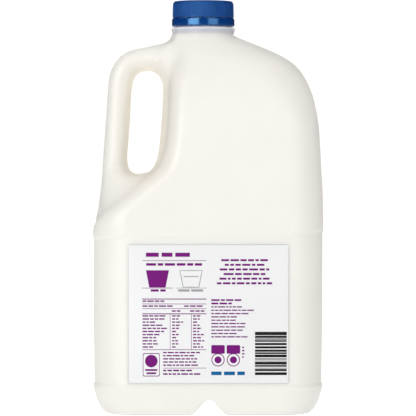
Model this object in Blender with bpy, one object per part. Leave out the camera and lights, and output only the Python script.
# Plastic milk jug: a blow-moulded bottle with a hollow side handle, full of milk, under a ribbed
# screw cap with its tamper band, and with a label stuck in the panel on each broad side.
# Sizes are in millimetres, and each mesh is scaled to metres as it is made.
# +Z is up, +X runs from the handle side to the plain side, and the origin is under the middle.

import math
from collections import namedtuple

import bmesh
import bpy
from mathutils import Vector

MM = 0.001

# The bottle's wall, and the small gap that pieces which touch keep between them.
WALL = 0.9
TOUCH = 0.3
MILK_LEVEL = 250.7

# How far a cutter runs past what it cuts, and a reach that is past every side of the bottle.
PAST = 2.0
BEYOND = 320.0

# One level of the body: how far it reaches to the left, to the right and to the front and back,
# how far its rounded corners run along X at the left and the right, and how square it is, from
# 1 for a rounded rectangle to 0 for an ellipse.
Level = namedtuple("Level", "z left right depth corner_left corner_right square")
CORNER_DEPTH = 26.0
BODY_LEVELS = [
    Level(0.0, -66.0, 66.0, 42.5, 20, 20, 1.0),
    Level(0.7, -67.8, 67.8, 44.4, 22, 22, 1.0),
    Level(3.7, -70.5, 70.2, 47.1, 23, 23, 1.0),
    Level(9.8, -73.3, 73.1, 50.2, 25, 25, 1.0),
    Level(15.1, -74.8, 74.5, 51.8, 26, 26, 1.0),
    Level(19.2, -75.5, 75.5, 52.5, 26, 26, 1.0),
    Level(21.3, -74.9, 74.9, 51.8, 26, 26, 1.0),
    Level(60.0, -75.4, 75.3, 51.8, 26, 26, 1.0),
    Level(115.8, -75.2, 75.5, 51.8, 26, 26, 1.0),
    Level(118.0, -76.0, 76.0, 52.6, 26, 26, 1.0),
    Level(120.6, -76.0, 76.0, 52.7, 26, 26, 1.0),
    Level(123.3, -75.2, 76.0, 52.7, 24, 26, 1.0),
    Level(128.5, -70.4, 75.9, 52.7, 20, 26, 1.0),
    Level(146.9, -52.2, 75.4, 52.7, 16, 26, 1.0),
    Level(156.8, -41.8, 74.8, 52.7, 15, 26, 1.0),
    Level(159.9, -38.4, 74.6, 52.7, 14, 26, 1.0),
    Level(163.2, -35.9, 74.4, 52.7, 13, 26, 1.0),
    Level(168.0, -33.9, 74.2, 52.7, 12, 26, 1.0),
    Level(175.0, -32.6, 73.8, 52.6, 11.5, 26, 1.0),
    Level(186.4, -31.4, 73.1, 52.4, 10.5, 26, 1.0),
    Level(206.0, -30.2, 70.0, 50.8, 10, 26, 0.95),
    Level(219.3, -29.8, 65.5, 46.6, 10, 26, 0.8),
    Level(229.3, -28.8, 58.6, 40.2, 11, 26, 0.6),
    Level(234.9, -27.4, 51.0, 35.4, 12, 24, 0.45),
    Level(241.0, -25.6, 38.3, 28.6, 14, 20, 0.25),
    Level(246.4, -24.2, 24.6, 23.2, 16, 18, 0.08),
]
LEVEL_STEP = 7.0
SIDE_SEGMENTS, CORNER_SEGMENTS, FRONT_SEGMENTS = 2, 5, 3
MOST_ROUND = 0.98

# The neck is round, and stands a little left of the middle.
NECK_X = -3.2
NECK_RADIUS = 20.5
NECK_BOTTOM, NECK_FLARE, NECK_FOOT = 249.3, 0.4, 1.0
BEAD_Z, BEAD_RADIUS, BEAD_HALF_HEIGHT = 253.7, 21.3, 1.3
FINISH_BOTTOM, FINISH_TOP = 255.3, 270.4
FINISH_RADIUS, FINISH_BORE, FINISH_SHELF = 18.4, 16.8, 1.2

# The handle is lofted from ovals. Each joins a point of its outer edge to a point of its inner
# edge, round the finger gap, and has a depth to the front and back of them.
Oval = namedtuple("Oval", "out_x out_z in_x in_z depth")
HANDLE_OVALS = [
    Oval(-16.0, 245.0, -20.0, 206.0, 16.0),
    Oval(-26.8, 245.1, -30.6, 218.6, 18.0),
    Oval(-33.8, 243.6, -33.1, 223.4, 15.4),
    Oval(-41.8, 241.9, -38.3, 226.0, 13.8),
    Oval(-51.2, 239.8, -43.8, 225.7, 13.2),
    Oval(-57.4, 236.5, -48.1, 222.6, 13.0),
    Oval(-62.5, 230.6, -50.2, 217.3, 13.0),
    Oval(-66.0, 220.9, -51.1, 210.3, 13.0),
    Oval(-67.4, 202.3, -51.6, 199.6, 13.0),
    Oval(-69.1, 179.6, -53.0, 179.6, 13.0),
    Oval(-69.8, 169.6, -53.8, 169.6, 13.4),
    Oval(-70.3, 162.6, -53.2, 162.6, 14.2),
    Oval(-70.5, 159.0, -51.2, 159.2, 15.4),
    Oval(-70.7, 156.0, -46.6, 157.2, 17.0),
    Oval(-71.0, 152.6, -40.0, 155.4, 19.0),
    Oval(-71.8, 145.0, -35.0, 147.0, 22.0),
    Oval(-73.6, 132.6, -33.2, 132.6, 25.5),
    Oval(-74.7, 127.0, -33.2, 127.0, 26.0),
    Oval(-74.6, 121.0, -33.2, 121.0, 26.0),
    Oval(-73.0, 112.0, -34.0, 112.0, 26.0),
]
HANDLE_SEGMENTS, HANDLE_STEP = 16, 7.0

# The channel under the base runs from front to back.
CHANNEL_X = 0.7
CHANNEL_TOP = 10.8
CHANNEL_ROUND = 3.4
CHANNEL_SLOPE = math.radians(41)
CHANNEL_LENGTH, CHANNEL_UNDER = 140.0, -12.0

# The cap's ribbed skirt, and the band that stays on the neck when the cap is first turned.
CAP_BOTTOM, CAP_TOP = 261.5, 272.4
CAP_RADIUS, CAP_TAPER = 20.4, 0.2
CAP_BORE = 18.8
CAP_LID = 1.4
CAP_EDGE = 1.5
RIBS, RIB_DEPTH = 96, 0.35
BAND_BOTTOM, BAND_TOP = 255.7, 260.7
BAND_RADIUS, BAND_BORE, BAND_EDGE = 20.8, 18.8, 0.5
BRIDGES, BRIDGE_WIDTH, BRIDGE_SETBACK = 12, 1.4, 0.5
ROUND_SEGMENTS = 60

# The labels: one thin sheet in the panel on each broad side.
LABEL_WIDTH, LABEL_HEIGHT, LABEL_THICK = 104.4, 90.6, 0.25
LABEL_X, LABEL_Z = 0.3, 66.9
LABEL_CORNER = 2.0
PANEL_DEPTH = 51.8


def smooth_between(knots, rows):
    """A function that gives the row at any place, on curves through the rows that never overshoot."""
    columns = list(zip(*rows))
    gaps = [b - a for a, b in zip(knots, knots[1:])]
    slopes = []
    for column in columns:
        rises = [(b - a) / gap for a, b, gap in zip(column, column[1:], gaps)]
        inner = [2 * p * q / (p + q) if p * q > 0 else 0.0 for p, q in zip(rises, rises[1:])]
        slopes.append([rises[0], *inner, rises[-1]])

    def row_at(place):
        i = max(j for j in range(len(gaps)) if knots[j] <= place or j == 0)
        t = (place - knots[i]) / gaps[i]
        start, end = (1 + 2 * t) * (1 - t) ** 2, t * t * (3 - 2 * t)
        leave, arrive = t * (1 - t) ** 2 * gaps[i], t * t * (t - 1) * gaps[i]
        return [
            start * c[i] + end * c[i + 1] + leave * s[i] + arrive * s[i + 1]
            for c, s in zip(columns, slopes)
        ]

    return row_at


def steps_through(knots, moves, longest):
    """The knots, with as many places between them as keep each part of a move under the longest."""
    places = [knots[0]]
    for a, b, move in zip(knots, knots[1:], moves):
        count = max(1, math.ceil(move / longest))
        places += [a + (b - a) * (i + 1) / count for i in range(count)]
    return places


def new_object(name, bm):
    """The bmesh as an object of the scene, scaled from millimetres to metres."""
    bmesh.ops.scale(bm, vec=(MM, MM, MM), verts=bm.verts)
    mesh = bpy.data.meshes.new(name)
    bm.to_mesh(mesh)
    bm.free()
    made = bpy.data.objects.new(name, mesh)
    bpy.context.scene.collection.objects.link(made)
    return made


def lofted(rings):
    """A bmesh skinned over rings with the same number of points, closed at both ends."""
    bm = bmesh.new()
    loops = [[bm.verts.new(p) for p in ring] for ring in rings]
    for low, high in zip(loops, loops[1:]):
        for i in range(len(low)):
            j = (i + 1) % len(low)
            bm.faces.new((low[i], low[j], high[j], high[i]))
    bm.faces.new(reversed(loops[0]))
    bm.faces.new(loops[-1])
    bmesh.ops.recalc_face_normals(bm, faces=bm.faces)
    return bm


def shrink(bm, inset):
    """Moves every face of the bmesh inwards by the inset."""
    bm.normal_update()
    moves = [v.normal * (-inset * v.calc_shell_factor()) for v in bm.verts]
    for v, move in zip(bm.verts, moves):
        v.co += move


def quadrant(reach, depth, corner, square):
    """Points from the side's middle to the front's middle, as (outward, forward) pairs."""
    corner_depth = min(CORNER_DEPTH, MOST_ROUND * depth)
    corner = min(corner, MOST_ROUND * reach)
    count = SIDE_SEGMENTS + CORNER_SEGMENTS + FRONT_SEGMENTS
    points = []
    for i in range(count):
        if i < SIDE_SEGMENTS:
            boxy = (reach, (depth - corner_depth) * i / SIDE_SEGMENTS)
        elif i <= SIDE_SEGMENTS + CORNER_SEGMENTS:
            turn = math.pi / 2 * (i - SIDE_SEGMENTS) / CORNER_SEGMENTS
            boxy = (
                reach - corner + corner * math.cos(turn),
                depth - corner_depth + corner_depth * math.sin(turn),
            )
        else:
            along = (i - SIDE_SEGMENTS - CORNER_SEGMENTS) / FRONT_SEGMENTS
            boxy = ((reach - corner) * (1 - along), depth)
        turn = math.pi / 2 * i / count
        oval = (reach * math.cos(turn), depth * math.sin(turn))
        points.append([square * b + (1 - square) * o for b, o in zip(boxy, oval)])
    return points


def body_ring(level):
    """The outline of the body at one level, counterclockwise from its right side."""
    right = quadrant(level.right - NECK_X, level.depth, level.corner_right, level.square)
    left = quadrant(NECK_X - level.left, level.depth, level.corner_left, level.square)
    middle = (NECK_X, level.depth)
    back = [(NECK_X + x, y) for x, y in right] + [middle]
    back += [(NECK_X - x, y) for x, y in reversed(left)]
    front = [(x, -y) for x, y in reversed(back[1:-1])]
    return [(x, y, level.z) for x, y in back + front]


def round_ring(radius, z, count):
    """A level circle round the neck's axis."""
    turns = (2 * math.pi * i / count for i in range(count))
    return [(NECK_X + radius * math.cos(a), radius * math.sin(a), z) for a in turns]


def neck_rings(inset, count):
    """The neck from its foot to the mouth: outside with no inset, and the bore with one."""
    circles = [(NECK_RADIUS - inset, NECK_BOTTOM + NECK_FOOT)]
    if inset:
        shelf, bore = FINISH_BOTTOM - FINISH_SHELF, FINISH_BORE - (inset - WALL)
        circles += [(NECK_RADIUS - inset, shelf - PAST), (bore, shelf), (bore, CAP_TOP)]
    else:
        for turn in (-90, -45, 0, 45, 90):
            out, up = math.cos(math.radians(turn)), math.sin(math.radians(turn))
            swell = (BEAD_RADIUS - NECK_RADIUS) * out
            circles.append((NECK_RADIUS + swell, BEAD_Z + BEAD_HALF_HEIGHT * up))
        circles += [(FINISH_RADIUS, FINISH_BOTTOM), (FINISH_RADIUS, FINISH_TOP)]
    return [round_ring(radius, z, count) for radius, z in circles]


def body_solid(name, inset):
    """The body and neck without the handle, every wall moved inwards by the inset."""
    knots = [level.z for level in BODY_LEVELS]
    level_at = smooth_between(knots, BODY_LEVELS)
    pairs = zip(BODY_LEVELS, BODY_LEVELS[1:])
    moves = [abs(high.right - low.right) + abs(high.depth - low.depth) for low, high in pairs]
    levels = [Level(*level_at(z)) for z in steps_through(knots, moves, LEVEL_STEP)]
    rings = [body_ring(level) for level in levels]
    count = len(rings[0])
    rings.append(round_ring(NECK_RADIUS + NECK_FLARE, NECK_BOTTOM, count))
    bm = lofted(rings)
    shrink(bm, inset)
    bm.verts.ensure_lookup_table()
    shrunk = [[v.co.copy() for v in bm.verts[i * count:(i + 1) * count]] for i in range(len(rings))]
    bm.free()
    return new_object(name, lofted(shrunk + neck_rings(inset, count)))


def handle_solid(name, inset):
    """The handle with both its roots, which end inside the body."""
    middles = [Vector(((o.out_x + o.in_x) / 2, (o.out_z + o.in_z) / 2)) for o in HANDLE_OVALS]
    knots = [0.0]
    moves = [(b - a).length for a, b in zip(middles, middles[1:])]
    for move in moves:
        knots.append(knots[-1] + move)
    oval_at = smooth_between(knots, HANDLE_OVALS)
    rings = []
    for place in steps_through(knots, moves, HANDLE_STEP):
        oval = Oval(*oval_at(place))
        middle = Vector(((oval.out_x + oval.in_x) / 2, 0, (oval.out_z + oval.in_z) / 2))
        across = Vector((oval.out_x, 0, oval.out_z)) - middle
        across -= across.normalized() * inset
        depth = Vector((0, oval.depth - inset, 0))
        turns = (2 * math.pi * i / HANDLE_SEGMENTS for i in range(HANDLE_SEGMENTS))
        rings.append([middle + across * math.cos(a) + depth * math.sin(a) for a in turns])
    return new_object(name, lofted(rings))


def channel_cutter(name, grown):
    """The prism that cuts the channel into the base. For the bottle's inside it is grown by the wall."""
    radius = CHANNEL_ROUND + grown
    centre = CHANNEL_TOP - CHANNEL_ROUND
    half_turn = math.pi / 2 - CHANNEL_SLOPE
    top = []
    for step in range(-3, 4):
        lean = half_turn * step / 3
        top.append((radius * math.sin(lean), centre + radius * math.cos(lean)))
    side_x, side_z = top[-1]
    reach = side_x + (side_z - CHANNEL_UNDER) * math.tan(CHANNEL_SLOPE)
    outline = [(-reach, CHANNEL_UNDER), *top, (reach, CHANNEL_UNDER)]
    ends = (-CHANNEL_LENGTH / 2, CHANNEL_LENGTH / 2)
    return new_object(name, lofted([[(CHANNEL_X + x, y, z) for x, z in outline] for y in ends]))


def box_solid(name, low, high):
    """A plain block between two corners."""
    corners = [(low[0], low[1]), (high[0], low[1]), (high[0], high[1]), (low[0], high[1])]
    return new_object(name, lofted([[(x, y, z) for x, y in corners] for z in (low[2], high[2])]))


def combine(target, other, operation):
    """Joins or cuts the target with the other object, which is then removed."""
    modifier = target.modifiers.new(operation.lower(), "BOOLEAN")
    modifier.operation = operation
    modifier.object = other
    modifier.solver = "EXACT"
    graph = bpy.context.evaluated_depsgraph_get()
    mesh = bpy.data.meshes.new_from_object(target.evaluated_get(graph))
    target.modifiers.clear()
    target.data = mesh
    bpy.data.objects.remove(other)
    return target


def vessel(name, inset):
    """The whole bottle as one solid, every wall moved inwards by the inset."""
    body = combine(body_solid(name, inset), handle_solid("handle", inset), "UNION")
    return combine(body, channel_cutter("channel", inset), "DIFFERENCE")


def finish(made, colour, roughness, alpha=1.0):
    """Gives the object a material of its own, and smooth shading up to its real edges."""
    material = bpy.data.materials.new(made.name)
    material.use_nodes = True
    shader = material.node_tree.nodes["Principled BSDF"]
    shader.inputs["Base Color"].default_value = (*colour, 1.0)
    shader.inputs["Roughness"].default_value = roughness
    shader.inputs["Metallic"].default_value = 0.0
    shader.inputs["Alpha"].default_value = alpha
    made.data.materials.clear()
    made.data.materials.append(material)
    made.data.shade_smooth()
    made.data.set_sharp_from_angle(angle=math.radians(40))


def make_jug():
    """The bottle: one blown wall, hollow through the handle, and open at the mouth."""
    jug = combine(vessel("jug", 0.0), vessel("inside", WALL), "DIFFERENCE")
    finish(jug, (0.93, 0.92, 0.89), 0.35, alpha=0.6)


def make_milk():
    """The milk fills the inside, handle and all, up to its level at the foot of the neck."""
    milk = vessel("milk", WALL + TOUCH)
    above = box_solid("above", (-BEYOND, -BEYOND, MILK_LEVEL), (BEYOND, BEYOND, BEYOND))
    finish(combine(milk, above, "DIFFERENCE"), (0.95, 0.94, 0.89), 0.4)


def ribbed_ring(radius, depth, z):
    """A level ring with one ridge and one groove for each rib."""
    ring = []
    for i in range(2 * RIBS):
        turn = math.pi * i / RIBS
        reach = radius - depth * (i % 2)
        ring.append((NECK_X + reach * math.cos(turn), reach * math.sin(turn), z))
    return ring


def make_cap():
    """The cap: a ribbed skirt with a rounded top edge, hollow underneath where it sits on the neck."""
    rings = [
        ribbed_ring(CAP_RADIUS, RIB_DEPTH, CAP_BOTTOM),
        ribbed_ring(CAP_RADIUS - CAP_TAPER, RIB_DEPTH, CAP_TOP - CAP_EDGE),
    ]
    for lean in (45, 90):
        out, up = math.cos(math.radians(lean)), math.sin(math.radians(lean))
        reach = CAP_RADIUS - CAP_TAPER - RIB_DEPTH - CAP_EDGE * (1 - out)
        rings.append(ribbed_ring(reach, 0.0, CAP_TOP - CAP_EDGE * (1 - up)))
    cap = new_object("cap", lofted(rings))
    hollow = [
        round_ring(CAP_BORE, CAP_BOTTOM - PAST, ROUND_SEGMENTS),
        round_ring(CAP_BORE, CAP_TOP - CAP_LID, ROUND_SEGMENTS),
    ]
    finish(combine(cap, new_object("hollow", lofted(hollow)), "DIFFERENCE"), (0.02, 0.10, 0.36), 0.4)


def make_band():
    """The tamper band, with the thin bridges on it that break when the cap is first turned."""
    circles = [
        (BAND_RADIUS - BAND_EDGE, BAND_BOTTOM),
        (BAND_RADIUS, BAND_BOTTOM + BAND_EDGE),
        (BAND_RADIUS, BAND_TOP - BAND_EDGE),
        (BAND_RADIUS - BAND_EDGE, BAND_TOP),
    ]
    band = new_object("tamper_band", lofted([round_ring(r, z, ROUND_SEGMENTS) for r, z in circles]))
    bore = [round_ring(BAND_BORE, z, ROUND_SEGMENTS) for z in (BAND_BOTTOM - PAST, BAND_TOP + PAST)]
    combine(band, new_object("bore", lofted(bore)), "DIFFERENCE")
    inner, outer = BAND_BORE + BRIDGE_SETBACK, BAND_RADIUS - BRIDGE_SETBACK
    for i in range(BRIDGES):
        bridge = box_solid(
            "bridge",
            (inner, -BRIDGE_WIDTH / 2, BAND_TOP - BAND_EDGE),
            (outer, BRIDGE_WIDTH / 2, CAP_BOTTOM - TOUCH),
        )
        bridge.rotation_euler.z = 2 * math.pi * (i + 0.5) / BRIDGES
        bridge.location.x = NECK_X * MM
        bpy.context.view_layer.update()
        combine(band, bridge, "UNION")
    finish(band, (0.02, 0.10, 0.36), 0.25)


def make_label(name, side):
    """A thin sheet with rounded corners, stuck in the panel on the front (-1) or the back (1)."""
    outline = []
    for corner in range(4):
        sign_x, sign_z = (1, 1, -1, -1)[corner], (-1, 1, 1, -1)[corner]
        centre_x = LABEL_X + sign_x * (LABEL_WIDTH / 2 - LABEL_CORNER)
        centre_z = LABEL_Z + sign_z * (LABEL_HEIGHT / 2 - LABEL_CORNER)
        for step in range(4):
            turn = math.radians(-90 + 90 * corner + 30 * step)
            reach_x, reach_z = LABEL_CORNER * math.cos(turn), LABEL_CORNER * math.sin(turn)
            outline.append((centre_x + reach_x, centre_z + reach_z))
    near, far = PANEL_DEPTH + TOUCH, PANEL_DEPTH + TOUCH + LABEL_THICK
    sheet = new_object(name, lofted([[(x, side * y, z) for x, z in outline] for y in (near, far)]))
    finish(sheet, (0.93, 0.93, 0.93), 0.45)


def main():
    for old in list(bpy.data.objects):
        bpy.data.objects.remove(old)
    make_jug()
    make_milk()
    make_cap()
    make_band()
    make_label("label_info", -1)
    make_label("label_main", 1)


main()
